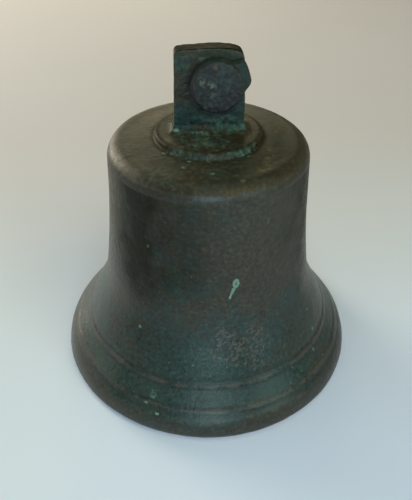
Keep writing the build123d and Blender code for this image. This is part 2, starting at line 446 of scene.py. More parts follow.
def bronze_material():
    k = Nodes("bronze_patina")
    # large and small mottling
    n1 = k.noise(70, 5, 0.6, 0.5)
    n2 = k.noise(230, 5, 0.62, 0.6, seed=0.31)
    n3 = k.noise(700, 4, 0.6, 0.2, seed=0.77)
    n4 = k.noise(1700, 3, 0.55, 0.0, seed=0.13)
    # brown-black oxide and dark teal patina
    brown = k.ramp(n3, [(0.30, (0.012, 0.010, 0.0055)), (0.52, (0.029, 0.0235, 0.013)), (0.76, (0.064, 0.053, 0.031))])
    teal = k.ramp(n3, [(0.28, (0.006, 0.016, 0.013)), (0.52, (0.013, 0.032, 0.028)), (0.78, (0.034, 0.070, 0.060))])
    tmask = k.math("ADD", k.math("MULTIPLY", n1, 0.5), k.math("MULTIPLY", n2, 0.5))
    tmask = k.math("ADD", tmask, k.math("MULTIPLY", k.math("SUBTRACT", k.attr("teal"), 0.5), 0.55))
    tmask = k.between(tmask, 0.39, 0.63)
    col = k.mix(tmask, brown, teal)
    # olive dust and tarnish on the faces that look up
    ol = k.ramp(n3, [(0.25, (0.013, 0.012, 0.005)), (0.5, (0.030, 0.027, 0.013)), (0.8, (0.070, 0.060, 0.030))])
    og = k.ramp(n3, [(0.25, (0.010, 0.013, 0.007)), (0.5, (0.023, 0.029, 0.016)), (0.8, (0.058, 0.066, 0.040))])
    ol = k.mix(k.between(n1, 0.44, 0.58), ol, og)
    om = k.math("MULTIPLY", k.attr("olive"), k.between(n2, 0.22, 0.60, 0.80, 1.0))
    col = k.mix(om, col, ol)
    # greyish pink where the patina is rubbed through, also used for painted sheen down the two sides and a painted
    # highlight on the rear top edge of the lug
    wm = k.math("ADD", k.attr("wear_and_sheen"), k.math("MULTIPLY", k.math("SUBTRACT", n2, 0.5), 0.9))
    wm = k.math("ADD", wm, k.math("MULTIPLY", k.math("SUBTRACT", n3, 0.5), 0.9))
    wm = k.math("MULTIPLY", k.between(wm, 0.38, 0.80), k.between(k.attr("wear_and_sheen"), 0.02, 0.2))
    pink = k.ramp(n4, [(0.3, (0.050, 0.037, 0.032)), (0.7, (0.110, 0.092, 0.080))])
    col = k.mix(k.math("MULTIPLY", wm, 0.80), col, pink)
    # verdigris
    vm = k.math("ADD", k.attr("verdigris"), k.math("MULTIPLY", k.math("SUBTRACT", n2, 0.5), 0.8))
    vm = k.math("ADD", vm, k.math("MULTIPLY", k.math("SUBTRACT", n3, 0.5), 0.8))
    vm = k.math("MULTIPLY", k.between(vm, 0.20, 1.00), k.between(k.attr("verdigris"), 0.01, 0.15))
    vg = k.ramp(n3, [(0.30, (0.018, 0.046, 0.037)), (0.52, (0.034, 0.076, 0.061)), (0.74, (0.084, 0.142, 0.116))])
    vg = k.mix(k.between(n4, 0.50, 0.72, 0.0, 0.40), vg, (0.165, 0.240, 0.190))
    col = k.mix(vm, col, vg)
    # yellow-green lichen-like bloom and pale specks
    ym = k.math("ADD", k.attr("yellow"), k.math("MULTIPLY", k.math("SUBTRACT", n3, 0.5), 1.4))
    ym = k.math("MULTIPLY", k.between(ym, 0.25, 0.95), k.between(k.attr("yellow"), 0.03, 0.25))
    col = k.mix(ym, col, (0.115, 0.104, 0.046))
    sm = k.between(k.math("ADD", k.attr("spots"), k.math("MULTIPLY", k.math("SUBTRACT", n4, 0.5), 0.8)), 0.30, 0.72)
    sm = k.math("MULTIPLY", sm, k.between(k.attr("spots"), 0.05, 0.25))
    col = k.mix(k.math("MULTIPLY", sm, 0.8), col, (0.170, 0.290, 0.225))
    # dirt in the grooves, on the beads and at the boss edge; painted shadow round the bolt head on the lug; darker at
    # the foot of the lip and all over the inside
    dm = k.math("MULTIPLY", k.attr("dirt_and_shade"), 0.85)
    col = k.mix(dm, col, (0.006, 0.007, 0.005))
    # painted shade at fixed turns round the waist and on the lug's top face
    col = k.mix(k.math("MULTIPLY", k.attr("painted_shade"), 0.66), col, (0.0045, 0.0042, 0.0030))
    k.link(col, k.bsdf.inputs["Base Color"])
    k.link(k.attr("gloss"), k.bsdf.inputs["Specular IOR Level"])
    rough = k.math("ADD", k.between(n3, 0.3, 0.75, 0.27, 0.43), k.math("MULTIPLY", vm, 0.30))
    rough = k.math("ADD", rough, k.math("MULTIPLY", om, 0.20))
    rough = k.math("ADD", rough, k.math("MULTIPLY", sm, 0.25), clamp=True)
    k.link(rough, k.bsdf.inputs["Roughness"])
    k.bsdf.inputs["Metallic"].default_value = 0.0
    k.bsdf.inputs["IOR"].default_value = 1.49
    b = k.bump(n2, 0.25, 0.0008)
    b = k.bump(n3, 0.35, 0.00030, b)
    b = k.bump(n4, 0.35, 0.00010, b)
    b = k.bump(vm, 0.35, 0.00025, b)
    k.link(b, k.bsdf.inputs["Normal"])
    return k.m


def bolt_material():
    k = Nodes("bolt_iron")
    n1 = k.noise(200, 5, 0.6, 0.7, seed=0.21)
    n2 = k.noise(640, 5, 0.6, 0.3, seed=0.55)
    n3 = k.noise(1800, 3, 0.55, 0.0, seed=0.91)
    base = k.ramp(n2, [(0.28, (0.004, 0.0043, 0.0045)), (0.50, (0.0115, 0.0120, 0.0112)), (0.74, (0.043, 0.044, 0.040))])
    rust = k.ramp(n2, [(0.28, (0.012, 0.011, 0.006)), (0.52, (0.024, 0.024, 0.013)), (0.76, (0.054, 0.046, 0.025))])
    rteal = k.ramp(n2, [(0.28, (0.006, 0.013, 0.011)), (0.52, (0.014, 0.032, 0.028)), (0.76, (0.036, 0.070, 0.060))])
    rust = k.mix(k.between(n1, 0.42, 0.56), rust, rteal)
    rm = k.math("ADD", k.attr("rust"), k.math("MULTIPLY", k.math("SUBTRACT", n1, 0.5), 0.9))
    rm = k.between(rm, 0.30, 0.70)
    col = k.mix(rm, base, rust)
    pm = k.math("ADD", k.attr("pale"), k.math("MULTIPLY", k.math("SUBTRACT", n2, 0.5), 1.3))
    pm = k.math("MULTIPLY", k.between(pm, 0.25, 0.95), k.between(k.attr("pale"), 0.02, 0.25))
    pale = k.ramp(n3, [(0.3, (0.060, 0.085, 0.062)), (0.75, (0.150, 0.180, 0.135))])
    col = k.mix(pm, col, pale)
    gm = k.math("MULTIPLY", k.attr("green"), k.between(n2, 0.40, 0.62))
    col = k.mix(gm, col, (0.024, 0.046, 0.050))
    col = k.mix(k.attr("orange"), col, (0.105, 0.052, 0.028))
    # dark scratch and stains, and painted shade on the side and rim of the head
    col = k.mix(k.math("MULTIPLY", k.attr("dirt_and_shade"), 0.85), col, (0.005, 0.006, 0.006))
    k.link(col, k.bsdf.inputs["Base Color"])
    rough = k.math("ADD", k.between(n2, 0.3, 0.75, 0.42, 0.62), k.math("MULTIPLY", rm, 0.18), clamp=True)
    k.link(rough, k.bsdf.inputs["Roughness"])
    k.bsdf.inputs["Metallic"].default_value = 0.0
    k.bsdf.inputs["IOR"].default_value = 1.42
    b = k.bump(n1, 0.45, 0.0006)
    b = k.bump(n2, 0.65, 0.0003, b)
    b = k.bump(n3, 0.5, 0.00012, b)
    k.link(b, k.bsdf.inputs["Normal"])
    return k.m


def rusty_material():
    k = Nodes("rusted_iron")
    n1 = k.noise(120, 5, 0.62, 0.8, seed=0.41)
    n2 = k.noise(460, 5, 0.62, 0.3, seed=0.15)
    n3 = k.noise(1700, 3, 0.55, 0.0, seed=0.63)
    dark = k.ramp(n2, [(0.25, (0.012, 0.011, 0.010)), (0.55, (0.030, 0.026, 0.022)), (0.82, (0.070, 0.060, 0.050))])
    rust = k.ramp(n2, [(0.25, (0.040, 0.018, 0.008)), (0.55, (0.110, 0.046, 0.018)), (0.82, (0.200, 0.095, 0.038))])
    rm = k.between(k.math("ADD", k.math("MULTIPLY", n1, 0.6), k.math("MULTIPLY", n2, 0.4)), 0.44, 0.62)
    col = k.mix(rm, dark, rust)
    bright = k.between(k.attr("bright"), 0.25, 0.9)
    bright = k.math("MULTIPLY", bright, k.between(n2, 0.30, 0.55))
    col = k.mix(bright, col, (0.20, 0.185, 0.165))
    k.link(col, k.bsdf.inputs["Base Color"])
    rough = k.math("SUBTRACT", k.between(rm, 0.0, 1.0, 0.50, 0.82), k.math("MULTIPLY", bright, 0.2), clamp=True)
    k.link(rough, k.bsdf.inputs["Roughness"])
    met = k.math("MAXIMUM", k.math("MULTIPLY", k.math("SUBTRACT", 1.0, rm, clamp=True), 0.5), k.math("MULTIPLY", bright, 0.8))
    k.link(met, k.bsdf.inputs["Metallic"])
    b = k.bump(n1, 0.3, 0.0006)
    b = k.bump(n2, 0.5, 0.0003, b)
    b = k.bump(n3, 0.5, 0.00012, b)
    k.link(b, k.bsdf.inputs["Normal"])
    return k.m


BRONZE = bronze_material()
BOLT = bolt_material()
RUST = rusty_material()

# ---------------------------------------------------------------------------
# bell casting
# ---------------------------------------------------------------------------
def catmull(points, n):
    """Even samples of a smooth curve through the points."""
    P = np.asarray(points, float)
    t = np.r_[0, np.cumsum(np.hypot(*np.diff(P, axis=0).T))]
    # natural cubic spline, solved by hand
    h = np.diff(t)
    m = len(t)
    out = []
    for c in range(2):
        y = P[:, c]
        A = np.zeros((m, m)); b = np.zeros(m)
        A[0, 0] = A[-1, -1] = 1
        for i in range(1, m - 1):
            A[i, i - 1], A[i, i], A[i, i + 1] = h[i - 1], 2 * (h[i - 1] + h[i]), h[i]
            b[i] = 6 * ((y[i + 1] - y[i]) / h[i] - (y[i] - y[i - 1]) / h[i - 1])
        M = np.linalg.solve(A, b)
        s = np.linspace(0, t[-1], n)
        i = np.clip(np.searchsorted(t, s) - 1, 0, m - 2)
        d = s - t[i]
        out.append(y[i] + d * ((y[i + 1] - y[i]) / h[i] - h[i] * (2 * M[i] + M[i + 1]) / 6)
                   + d ** 2 * M[i] / 2 + d ** 3 * (M[i + 1] - M[i]) / (6 * h[i]))
    return np.stack(out, 1)


def arc(c, r, a0, a1, n):
    a = np.radians(np.linspace(a0, a1, n))
    return np.stack([c[0] + r * np.cos(a), c[1] + r * np.sin(a)], 1)


def moulding(z):
    """How far the outside stands proud of the plain curve, by height: two fine beads, each with a groove."""
    h = 0.13 * bell_curve(z, 19.4, 0.85) - 0.10 * bell_curve(z, 20.9, 0.70) - 0.05 * bell_curve(z, 18.1, 0.60)
    h += 0.04 * bell_curve(z, 23.2, 0.70)
    h += 0.11 * bell_curve(z, 12.0, 0.80) - 0.11 * bell_curve(z, 10.4, 0.65) - 0.04 * bell_curve(z, 13.4, 0.60)
    return h


N_AZ = 480
outer = catmull(OUTER, 190)
nrm = np.gradient(outer, axis=0)
nrm = np.stack([nrm[:, 1], -nrm[:, 0]], 1)
nrm /= np.linalg.norm(nrm, axis=1, keepdims=True)
outer = outer + nrm * moulding(outer[:, 1])[:, None]
inner = catmull(INNER, 84)
shoulder = arc((31.77, 92.6), 6.0, 0, 84, 15)[1:]
crown = np.array([(r, 98.57 + 0.95 * smooth(31.2 - r, 0, 10.5)) for r in np.linspace(31.2, 20.9, 22)])
step = np.array([(20.55, 99.62), (20.25, 99.85), (20.05, 100.25), (19.92, 100.75), (19.72, 101.18), (19.35, 101.50), (18.8, 101.68)])
top = np.array([(r, 101.72) for r in np.r_[np.linspace(18.3, 1.2, 46)]])
lip_in = np.array([(57.6, -0.0), (58.6, 0.0), (60.2, 0.0), (61.4, 0.12), (62.3, 0.55), (63.0, 1.3), (63.38, 2.1)])
under = np.array([(4.02, TAPPED_TOP), (4.02, 96.0), (4.02, 92.2), (4.6, CROWN_IN_Z)])
ceil = np.array([(r, CROWN_IN_Z) for r in np.linspace(5.6, 26.6, 16)])
cfil = arc((27.5, 85.6), 6.0, 90, 4, 9)
prof = np.vstack([under, ceil, cfil, inner[::-1][:-1], [(57.0, 0.12)], lip_in, outer, shoulder, crown, step, top])
# the profile runs from the tapped hole, out and down the inside, round the lip and up the outside
rings = len(prof)
ang = np.arange(N_AZ) / N_AZ * 2 * np.pi
V = np.empty((rings, N_AZ, 3))
V[..., 0] = prof[:, 0, None] * np.cos(ang)
V[..., 1] = prof[:, 0, None] * np.sin(ang)
V[..., 2] = prof[:, 1, None]

# foot of the lug: a fillet raised out of the boss
FOOT = 3.3
top0 = rings - len(top) - 4
xy = V[top0:, :, :2]
dx = np.abs(xy[..., 0]) - LUG_BASE_HALF
dy = np.abs(xy[..., 1]) - LUG_T / 2
d = np.hypot(np.maximum(dx, 0), np.maximum(dy, 0))
d = np.where((dx < 0) & (dy < 0), 0.0, d)
t = np.clip(FOOT - d, 0, FOOT)
V[top0:, :, 2] += FOOT - np.sqrt(np.maximum(FOOT ** 2 - t ** 2, 0))

verts = list(map(tuple, V.reshape(-1, 3)))
faces = []
for i in range(rings - 1):
    a, b = i * N_AZ, (i + 1) * N_AZ
    for j in range(N_AZ):
        j2 = (j + 1) % N_AZ
        faces.append((a + j, b + j, b + j2, a + j2))
lo, hi = len(verts), len(verts) + 1
verts.append((0, 0, TAPPED_TOP))
verts.append((0, 0, float(V[-1, 0, 2])))
last = (rings - 1) * N_AZ
for j in range(N_AZ):
    j2 = (j + 1) % N_AZ
    faces.append((lo, j, j2))
    faces.append((hi, last + j2, last + j))
bm = bmesh.new()
tmp = mesh_from("tmp", verts, faces)
bm.from_mesh(tmp)
bell_me = bm_to_mesh(bm, "bell_rev")

# lug with rounded top corners and worn edges
def lug_outline():
    pts = [(-LUG_BASE_HALF, 98.9), (LUG_BASE_HALF, 98.9), (LUG_BASE_HALF, 101.7)]
    ztop = LUG_TOP_Z - 0.6
    pts += [(12.45, 117.0)]
    cr = 3.4
    pts += [tuple(p) for p in arc((LUG_TOP_R - cr + 0.1, ztop - cr), cr, 4, 84, 10)]
    pts += [(x, LUG_TOP_Z - 0.6 * (abs(x) / 11.5) ** 2) for x in np.linspace(7.0, -8.8, 14)]
    cl = 1.9
    pts += [tuple(p) for p in arc((-LUG_TOP_L + cl, ztop - cl + 0.1), cl, 96, 178, 8)]
    pts += [(-LUG_BASE_HALF, 101.7)]
    return pts


lug = remeshed([p_prism_y(lug_outline(), -LUG_T / 2, LUG_T / 2)], 0.32,
               cuts=[p_cyl((BOLT_X, -6, BOLT_Z), (BOLT_X, 6, BOLT_Z), HOLE_R, n=96)], relax=4)
casting = boolean(new_object("tmp_bell", bell_me), new_object("tmp_lug", lug), "UNION")

P = coords(casting)
Nn = normals(casting)
x, y, z = P.T
r = np.hypot(x, y)
az = np.degrees(np.arctan2(x, -y))           # 0 at the front, positive to the right
on_lug = (z > 103.0) | ((z > 101.0) & (np.abs(y) < 4) & (np.abs(x) < 14))
inside = (Nn[:, 0] * x + Nn[:, 1] * y < 0) & (z < 91.5) & (r < 58)
inside |= (z < 92.5) & (Nn[:, 2] < -0.3) & (r < 34)
axis_d = np.hypot(x - BOLT_X, z - BOLT_Z)
in_hole = (axis_d < 5.4) & on_lug
tapped = (r < 5.2) & (z < 100.5)
keep = 1.0 - np.clip(smooth(axis_d, 5.8, 4.9) * on_lug + tapped * 1.0, 0, 1)
keep *= smooth(z, 0.05, 0.8)                 # the face it stands on stays flat
wob = 0.16 * fbm(P, 1 / 34.0, 2, 0.5, 3) + 0.055 * fbm(P, 1 / 7.0, 3, 0.55, 5)
pit = fbm(P, 1 / 2.2, 3, 0.6, 9)
wob += 0.030 * pit - 0.10 * smooth(pit, 0.50, 0.95)
wob = np.where(inside, wob * 1.6, wob)
wob = np.where(on_lug, wob * 1.5 + 0.05 * fbm(P, 1 / 3.2, 2, 0.5, 21), wob)
push(casting, wob * keep)

# --- masks for the patina -------------------------------------------------
nz = Nn[:, 2]
out = ~inside
front = az + 4.0                              # measured from the side the bolt head is seen from
bigA = fbm(P, 1 / 22.0, 3, 0.5, 31)
bigB = fbm(P, 1 / 9.0, 3, 0.55, 37)
fine = fbm(P, 1 / 3.0, 3, 0.6, 43)
lug_front = on_lug & (Nn[:, 1] < -0.55)
boss_face = (z > 98.4) & (z < 104.8) & ~on_lug & out


def da(a, c):
    return (a - c + 180) % 360 - 180


def sector(c, w):
    return bell_curve(da(front, c), 0, w)


# teal comes up on the flare, on the left of the front and in the band between the beads
teal = 0.40 + 0.16 * smooth(z, 56, 34) + 0.16 * sector(-14, 20) - 0.20 * sector(-52, 20) * smooth(z, 30, 50)
teal -= 0.12 * sector(32, 24) * smooth(z, 40, 60)
teal += 0.22 * bell_curve(z, 15.4, 3.2) + 0.10 * sector(8, 30) * bell_curve(z, 24, 12)
teal -= 0.26 * smooth(z, 10.4, 8.0) * (1 - 0.35 * sector(10, 30))
teal += 0.10 * bigA - 0.10 * smooth(z, 46, 58) + 0.10 * sector(-15, 14) * bell_curve(z, 15, 9)
teal = np.where(on_lug, 0.49 + 0.45 * bigB + 0.22 * bell_curve(z, 109, 5), teal)
teal = np.where(inside, 0.35 + 0.15 * bigA, teal)

olive = smooth(nz, 0.62, 0.80) * smooth(z, 93, 97.3) * (0.92 + 0.2 * bigB)
olive = np.maximum(olive, (z < 97) * smooth(z, 44, 84) * (0.66 * sector(56, 34) + 0.60 * sector(-54, 28)) * (1 + 0.4 * bigB))
olive = np.where(on_lug & (nz > 0.45) & (z > 110), 0.80, olive)
olive = np.where(lug_front, 0.80 * smooth(np.hypot(x - BOLT_X, (z - BOLT_Z) * 0.9), 12.8, 9.4) * smooth(z, 119, 124)
                 + 0.35 * smooth(z, 127.5, 130.0) + 0.30 * smooth(bigB, 0.0, 0.5), olive)
olive = np.where(inside, 0.0, olive)

# verdigris: the side of the boss, the foot of the lug, the band between the beads
ver = np.zeros(len(P))
wall = smooth(r, 18.3, 19.3) * smooth(r, 21.4, 20.2) * (z > 98.9) * (z < 101.9) * out
wall *= 0.12 + 0.52 * sector(42, 18) + 0.25 * sector(4, 30) + 0.38 * sector(-32, 13)
ver += wall * (1 + 0.45 * fine)
ver += 0.55 * smooth(r, 26.5, 21.0) * (r > 20.3) * boss_face * sector(0, 48) * smooth(fine, 0.12, 0.55)
ver += boss_face * (r < 18.8) * sector(-6, 60) * smooth(r, 3.0, 6.0) * (0.50 + 0.36 * smooth(fine + 0.3 * bigB, -0.35, 0.5)) * (0.25 + 0.75 * smooth(r, 17.2, 13.0))
feet = np.hypot(np.maximum(np.abs(x) - 12.4, 0), np.maximum(np.abs(y) - 3.0, 0))
ver += 0.48 * smooth(feet, 5.5, 0.2) * smooth(z, 106.6, 102.6) * (z > 101.2) * (r < 19) * (0.50 + 0.7 * fine + 0.30 * bigB)
ver += lug_front * (0.24 * smooth(z, 112.0, 104.5) * (0.62 + 0.9 * bigB) + 0.26 * smooth(bigB + 0.4 * fine, 0.05, 0.6))
ver += lug_front * 0.42 * bell_curve(x, -2.8, 2.4) * bell_curve(z, 128.5, 1.8) * (0.8 + 0.6 * fine)
ver += (z < 97) * out * (0.20 * bell_curve(z, 15.4, 2.6) * (0.8 + 1.1 * bigB) + 0.20 * bell_curve(z, 22.2, 0.8) * sector(5, 45))
ver += (z < 97) * out * 0.34 * sector(-62, 18) * bell_curve(z, 24.0, 12.0) * (0.7 + 0.9 * bigB)
ver = np.where(inside, 0.10 * smooth(bigB, 0.1, 0.6) + 0.25 * smooth(z, 84, 91) * smooth(fine, 0.0, 0.6), ver)

# rubbed places: the two beads, the lip, patches low on the front right; painted sheen in pale bands down the right and
# left sides; a painted highlight along the lug's rear top edge
wear_and_sheen = 0.98 * bell_curve(z, 19.4, 0.95) + 0.98 * bell_curve(z, 12.1, 1.0) + 0.38 * bell_curve(z, 8.6, 0.8)
wear_and_sheen *= (z < 25) * (0.74 + 0.5 * bigB)
wear_and_sheen += 0.24 * smooth(z, 8.5, 4.5)
tiny = fbm(P, 1 / 1.1, 3, 0.65, 53)
flake = bell_curve(da(front, 11), 0, 7) * bell_curve(z, 37.5, 6.5) + 0.9 * bell_curve(da(front, 24), 0, 7) * bell_curve(z, 34.0, 5.5)
flake += 0.9 * bell_curve(da(front, 22), 0, 7) * bell_curve(z, 24.5, 2.6) + 0.4 * bell_curve(da(front, 6), 0, 6) * bell_curve(z, 30.0, 3.0)
flake += 0.60 * bell_curve(da(front, 14), 0, 15) * bell_curve(z, 32.0, 9.0)
wear_and_sheen += 1.15 * np.minimum(flake, 1.0) * smooth(tiny + 0.55 * fine, 0.00, 0.36)
wear_and_sheen += 0.26 * sector(36, 22) * bell_curve(z, 68, 26) * (0.8 + 0.8 * bigB)
# painted sheen: pale bands down the right and the left side
wear_and_sheen += 0.12 * sector(66, 14) * (z < 97)
wear_and_sheen += 0.20 * sector(-70, 14) * (z > 34) * (z < 97)
wear_and_sheen = np.where(inside | (z > 97), 0.0, wear_and_sheen)
# on the lug: rubbed patches away from the bolt, and a painted highlight along the rear edge of the top face
wear_and_sheen = np.where(on_lug & (axis_d > 9), 0.26 * smooth(fine, 0.25, 0.7) + 0.5 * (nz > 0.3) * (z > 125) * smooth(y, 2.4, 3.2), wear_and_sheen)

# painted shade: darker, duller fields at fixed turns round the waist and on the top face of the lug; and how polished
# the patina is
painted_shade = 1.0 * bell_curve(da(front, -41), 0, 24) * smooth(z, 38, 60) + 0.35 * bell_curve(da(front, -8), 0, 14) * smooth(z, 45, 62)
painted_shade += 0.75 * bell_curve(da(front, 66), 0, 22) * smooth(z, 22, 48) + 0.35 * bell_curve(da(front, -33), 0, 14) * bell_curve(z, 38, 14)
painted_shade += 0.40 * bell_curve(da(front, 70), 0, 22) * smooth(z, 46, 20)
painted_shade = np.where((z < 95.5) & out & ~on_lug, painted_shade * (1 + 0.25 * bigB), 0.0)
# painted shade on the lug's top face, lighter toward its rear edge
painted_shade = np.where(on_lug & (nz > 0.4) & (z > 125), 0.78 * smooth(y, 3.4, 2.2) + 0.15, painted_shade)
painted_shade = np.clip(painted_shade, 0, 1)
gloss = 0.5 + 0.42 * bell_curve(da(front, -76), 0, 15) * (1 - 0.5 * smooth(z, 40, 60)) - 0.39 * painted_shade
gloss += 0.12 * sector(4, 24) * bell_curve(z, 95.0, 2.2)
gloss += 0.20 * bell_curve(da(front, -76), 0, 15) * bell_curve(z, 25, 14)
gloss -= 0.17 * sector(8, 34) * bell_curve(z, 22.0, 13.0)
gloss += 0.10 * sector(6, 50) * smooth(z, 6.5, 3.5)
gloss -= 0.10 * sector(60, 22) * smooth(z, 24, 44)
gloss = np.where(z > 91, np.minimum(gloss, 0.46), gloss)
gloss = np.where(on_lug, 0.33 - 0.30 * smooth(nz, 0.2, 0.7) * smooth(z, 122, 126), gloss)
on_boss = 0.34 - 0.08 * smooth(np.abs(da(front, 0)), 28, 50) - (0.10 + 0.10 * smooth(np.abs(da(front, 0)), 28, 50)) * smooth(r, 17.6, 18.6)
gloss = np.where(boss_face, on_boss + (0.40 - on_boss) * smooth(r, 20.6, 22.4), gloss)
gloss = np.where((z > 93) & (r > 22.4) & ~on_lug & out, 0.40 + 0.06 * smooth(r, 31.0, 37.0), gloss)
gloss = np.where(on_lug & (z < 108), gloss - 0.20 * smooth(feet, 3.5, 0.5) * smooth(z, 107.0, 104.5), gloss)
gloss = np.clip(gloss, 0.02, 1.0)

spots = np.zeros(len(P))
yellow = 0.50 * boss_face * (r < 18.5) * sector(-10, 50) * smooth(fine, -0.2, 0.5)


def at(fr, rad, zz):
    a = math.radians(fr - 4.0)
    return np.array([rad * math.sin(a), -rad * math.cos(a), zz])


def spot(fr, zz, size, tall=1.0, gain=1.0, hollow=0.0, field=None):
    """A pale speck on the outside, at an azimuth and height."""
    q = P - at(fr, np.interp(zz, OUTER[:, 1], OUTER[:, 0]), zz)
    dd = np.sqrt(q[:, 0] ** 2 + q[:, 1] ** 2 + (q[:, 2] / tall) ** 2)
    g = smooth(dd, size, size * 0.5)
    if hollow:
        g = g * (1 - hollow * smooth(dd, size * 0.55, size * 0.30))
    f = spots if field is None else field
    f[:] = np.maximum(f, gain * g)


def crown_spot(fr, rad, size, gain=1.0, field=None, long=1.0):
    q = P - at(fr, rad, 98.6)
    a = math.radians(fr - 4.0)
    er = np.array([math.sin(a), -math.cos(a)])
    radial = q[:, 0] * er[0] + q[:, 1] * er[1]
    around = q[:, 0] * er[1] - q[:, 1] * er[0]
    dd = np.sqrt(radial ** 2 + (around / long) ** 2 + (q[:, 2] * 0.5) ** 2)
    f = spots if field is None else field
    f[:] = np.maximum(f, gain * smooth(dd, size, size * 0.4) * (z > 93))


SPECKS = [(-32.5, 72.5, 0.85), (-35.5, 35.5, 0.95), (-18.1, 9.2, 0.95), (-15.8, 9.9, 0.55), (-21.7, 14.0, 0.5),
          (-23.3, 11.6, 0.8), (11.6, 7.1, 0.9), (60.8, 23.2, 0.9), (54.9, 20.8, 0.85), (55.0, 17.4, 0.8),
          (-17.0, 26.5, 0.6), (-6.0, 27.0, 0.6), (2.0, 23.5, 0.5), (9.0, 26.0, 0.55), (6.0, 27.5, 0.5),
          (-52.0, 62.0, 0.55), (-38.0, 52.0, 0.6), (-34.0, 76.0, 0.5), (-22.0, 84.5, 0.45), (63.0, 31.0, 0.8),
          (-12.0, 20.2, 0.5), (-30.0, 13.0, 0.6), (58.0, 13.4, 0.7), (40.0, 18.0, 0.6), (44.0, 15.0, 0.7), (36.0, 14.0, 0.6),
          (47.0, 46.0, 0.5), (36.0, 41.0, 0.6), (20.0, 50.0, 0.45), (-8.0, 64.0, 0.45), (2.0, 62.5, 0.45)]
for k, (fr_, z_, s_) in enumerate(SPECKS):
    spot(fr_, z_, s_, gain=0.95 if s_ > 0.75 else 0.7, hollow=0.75 if k in (4, 6, 8) else 0.0)
spot(-21.4, 14.6, 2.4, tall=1.15, gain=0.50, hollow=0.25)
# a dried drop with its run
spot(14.9, 60.6, 1.75, tall=1.5, gain=1.0, hollow=0.45)
for k in range(5):
    spot(13.6 - 0.46 * k, 58.2 - 0.90 * k, 0.95 - 0.08 * k, gain=0.95)
for fr_, r_, s_, l_ in [(-17, 21.8, 1.1, 1.6), (-19, 25.6, 1.0, 1.8), (0, 20.9, 0.9, 1.6), (3, 27.6, 1.1, 1.3), (-46, 21.6, 1.2, 1.5),
                        (40, 21.6, 1.0, 2.0), (11, 14.6, 0.8, 2.4), (97, 25.3, 0.9, 1.6), (-60, 18.4, 0.9, 2.0), (-90, 19.6, 0.7, 5.0),
                        (-75, 19.8, 0.7, 4.0)]:
    crown_spot(fr_, r_, s_ * 1.15, gain=0.50, long=l_)
for fr_, r_, s_, l_ in [(18, 29.2, 1.1, 1.2), (20, 33.0, 1.3, 1.3), (40, 29.9, 2.4, 2.0), (52, 27.0, 2.0, 2.2), (25, 24.5, 1.2, 1.4), (64, 24.0, 1.6, 1.5)]:
    crown_spot(fr_, r_, s_ * 1.25, gain=0.52, field=yellow, long=l_)
spot(33.0, 83.0, 0.9, tall=1.8, gain=0.6, field=yellow)
spot(-26.0, 66.5, 1.3, tall=1.6, gain=0.5, field=yellow)
chip = at(0, 0, 0)
chip[:] = (-12.0, -3.8, 103.0)
spots = np.maximum(spots, 0.62 * smooth(np.linalg.norm((P - chip) * (0.6, 1, 1.2), axis=1), 1.6, 0.3))

# dark lines in the grooves and on the beads, and darker towards the foot of the lip
dirt_and_shade = 0.55 * bell_curve(z, 10.3, 0.55) * (z < 25) + 0.45 * bell_curve(z, 20.9, 0.45) * (z < 25) + 0.35 * bell_curve(z, 18.0, 0.4) * (z < 25)
dirt_and_shade += 0.5 * smooth(z, 1.6, 0.3) + (z < 25) * (0.36 * bell_curve(z, 19.4, 1.2) + 0.34 * bell_curve(z, 12.1, 1.2))
dirt_and_shade += 0.45 * bell_curve(r, 18.2, 0.55) * boss_face * sector(0, 60)
# the whole inside a little darker
dirt_and_shade = np.where(inside, 0.25, dirt_and_shade)
# painted shadow on the lug's front round the bolt head, reaching furthest below and to the left
dirt_and_shade = np.where(on_lug, 0.95 * smooth(np.hypot(x - BOLT_X + 0.5, z - BOLT_Z + 1.5), 11.6, 9.6) * (Nn[:, 1] < -0.5) * (1 - 0.5 * smooth(z, 120, 128)), dirt_and_shade)

for nm, val in (("teal", teal), ("olive", olive), ("verdigris", ver), ("wear_and_sheen", wear_and_sheen), ("spots", spots), ("yellow", yellow), ("dirt_and_shade", dirt_and_shade),
                ("painted_shade", painted_shade), ("gloss", gloss)):
    attribute(casting, nm, val)
bell = finish_piece("bell_casting", casting, "bell", ["bell_body"], BRONZE)

# ---------------------------------------------------------------------------
# pivot bolt, washer and nut
# ---------------------------------------------------------------------------
def threaded_rod(y0, y1, rmax, depth, pitch, n=72, per=9):
    """A bar with a real helical thread, along Y from y0 to y1, about the Y axis."""
    rows = int((y1 - y0) / pitch * per) + 1
    ys = np.linspace(y0, y1, rows)
    th = np.arange(n) / n * 2 * np.pi
    Y, T = np.meshgrid(ys, th, indexing="ij")
    ph = (Y / pitch - T / (2 * np.pi)) % 1.0
    tri = 1 - np.abs(2 * ph - 1)
    R = rmax - depth * (1 - smooth(tri, 0.1, 0.9))
    R = np.minimum(R, rmax - 0.9 * np.clip((Y - (y1 - 1.0)) / 1.0, 0, 1))
    V = np.stack([R * np.cos(T), Y, R * np.sin(T)], -1)
    verts = list(map(tuple, V.reshape(-1, 3)))
    faces = []
    for i in range(rows - 1):
        for j in range(n):
            j2 = (j + 1) % n
            faces.append((i * n + j, i * n + j2, (i + 1) * n + j2, (i + 1) * n + j))
    a, b = len(verts), len(verts) + 1
    verts += [(0, y0, 0), (0, y1, 0)]
    for j in range(n):
        j2 = (j + 1) % n
        faces.append((a, j2, j))
        faces.append((b, (rows - 1) * n + j, (rows - 1) * n + j2))
    bm = bmesh.new()
    t = mesh_from("t", verts, faces)
    bm.from_mesh(t)
    return bm_to_mesh(bm, "thread")


def moved(me, x=0.0, y=0.0, z=0.0):
    me.transform(Matrix.Translation((x, y, z)))
    return me


